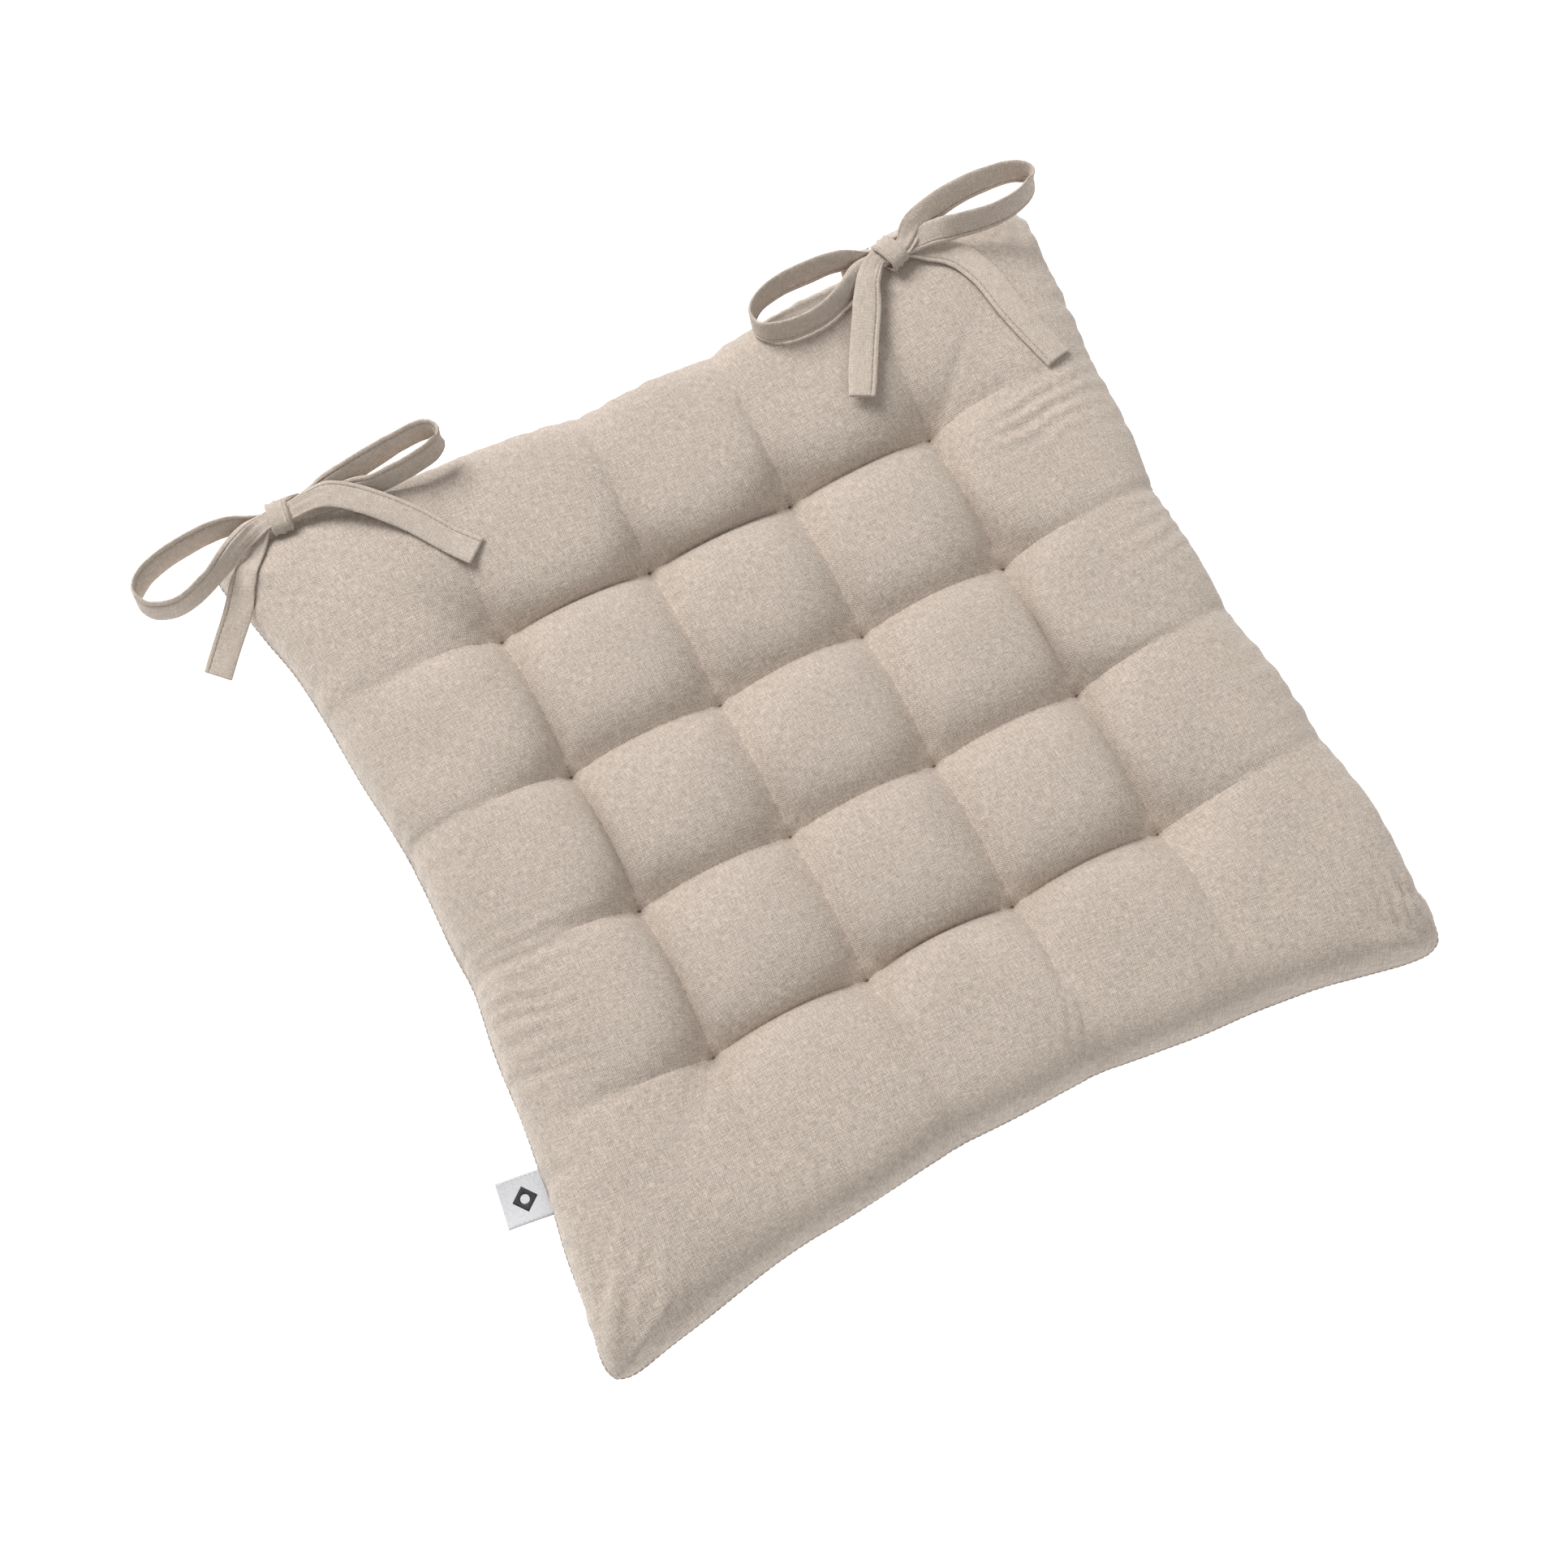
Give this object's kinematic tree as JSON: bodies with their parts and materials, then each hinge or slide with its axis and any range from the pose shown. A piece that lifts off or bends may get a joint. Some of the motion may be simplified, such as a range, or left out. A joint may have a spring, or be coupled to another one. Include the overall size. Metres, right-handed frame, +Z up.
{
  "type": "seat cushion",
  "caption": "Square tufted chair seat pad in greige cotton, with a knife-edge seam, a small side label and two tape ties tied in bows",
  "frame": {"origin": "The middle of the flat underside, on the surface that the pad rests on.", "axes": "+Z up through the pad; +Y towards the edge that carries the ties, the back of the seat; +X to the right along that edge, seen from the front of the seat."},
  "size_m": [0.4413, 0.4095, 0.0735],
  "materials": {
    "panel_cloth": "matte plain-woven cotton, greige, fine heathered grain",
    "tie_tape": "the same cotton, folded to a flat tape and top-stitched",
    "thread": "matte sewing thread, a shade darker than the cloth",
    "tuft_thread": "matte tufting thread",
    "fibre": "white polyester fibre, not visible",
    "label_cloth": "white woven satin label tape",
    "label_ink": "flat black print"
  },
  "bodies": {
    "pad": {"top_cover": "panel_cloth", "bottom_cover": "panel_cloth", "filling": "fibre", "seam_thread": "thread", "tuft_thread_11": "tuft_thread", "tuft_thread_12": "tuft_thread", "tuft_thread_13": "tuft_thread", "tuft_thread_14": "tuft_thread", "tuft_thread_21": "tuft_thread", "tuft_thread_22": "tuft_thread", "tuft_thread_23": "tuft_thread", "tuft_thread_24": "tuft_thread", "tuft_thread_31": "tuft_thread", "tuft_thread_32": "tuft_thread", "tuft_thread_33": "tuft_thread", "tuft_thread_34": "tuft_thread", "tuft_thread_41": "tuft_thread", "tuft_thread_42": "tuft_thread", "tuft_thread_43": "tuft_thread", "tuft_thread_44": "tuft_thread"},
    "left_bow": {"left_bow_outer_tie": "tie_tape", "left_bow_knot_tie": "tie_tape", "left_tie_stitching": "thread"},
    "right_bow": {"right_bow_outer_tie": "tie_tape", "right_bow_knot_tie": "tie_tape", "right_tie_stitching": "thread"},
    "label": {"label_tab": "label_cloth", "label_print": "label_ink"}
  },
  "joints": [
    {"name": "left_bow_swing", "type": "hinge", "parent": "pad", "child": "left_bow", "pos_m": [-0.17, 0.1992, 0.02], "axis": [-1, 0, 0], "range_deg": [0, 95]},
    {"name": "right_bow_swing", "type": "hinge", "parent": "pad", "child": "right_bow", "pos_m": [0.126, 0.1945, 0.02], "axis": [-1, 0, 0], "range_deg": [0, 95]},
    {"name": "label_flip", "type": "hinge", "parent": "pad", "child": "label", "pos_m": [-0.1922, -0.123, 0.02], "axis": [0.1386, 0.9903, 0], "range_deg": [-50, 60]}
  ]
}
